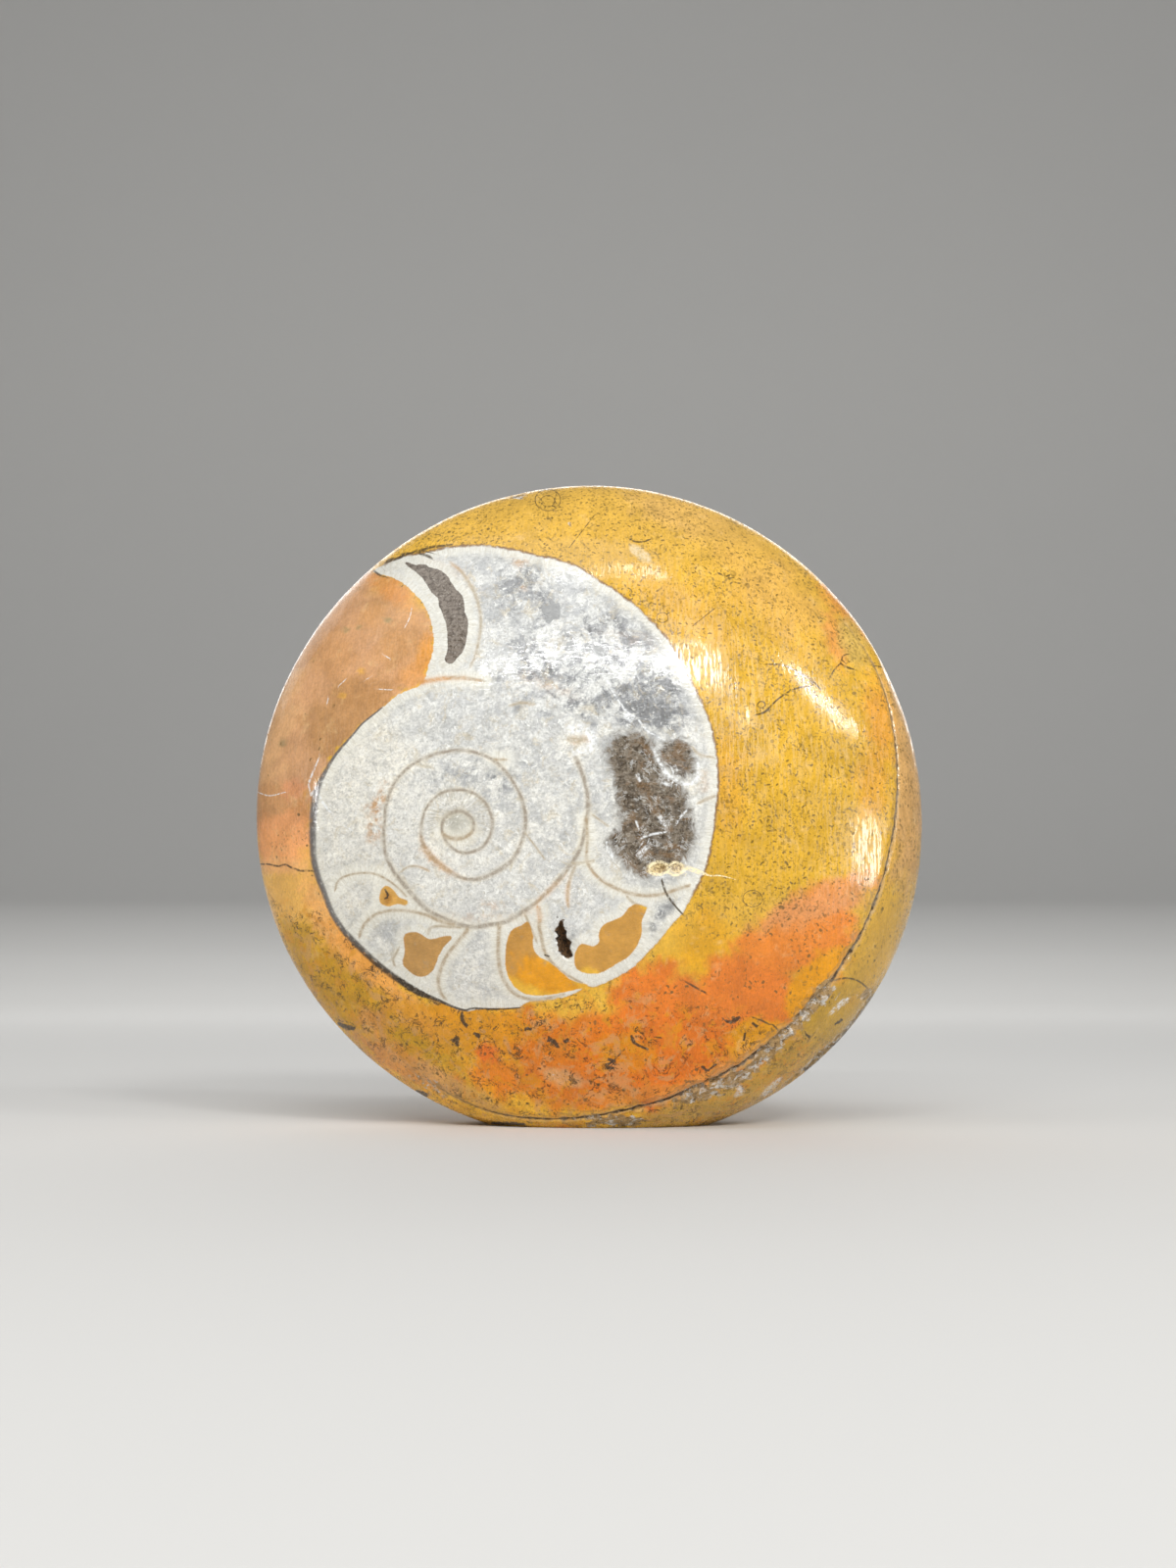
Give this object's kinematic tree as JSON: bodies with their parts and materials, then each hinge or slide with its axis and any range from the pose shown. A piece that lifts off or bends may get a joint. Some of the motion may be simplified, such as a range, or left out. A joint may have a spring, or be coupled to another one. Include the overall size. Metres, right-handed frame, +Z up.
{
  "type": "polished fossil ammonite stone",
  "caption": "Hand-polished disc of yellow and orange limestone with a coiled fossil shell cut open in its domed face, standing on a flat ground into its rim",
  "frame": {"origin": "centre line of the flat foot the stone stands on, under the centre of its round outline and at the depth of its widest section", "axes": "X is to the right seen from the fossil face, -Y is the way the fossil face looks, Z is up"},
  "size_m": [0.09, 0.0363, 0.0866],
  "materials": {
    "polished_fossil_limestone": "hand-polished golden to orange limestone with dark flecks, milky calcite chambers and brown shell walls, fine rubbing scratches"
  },
  "bodies": {
    "root": {"fossil_stone": "polished_fossil_limestone"}
  },
  "joints": []
}
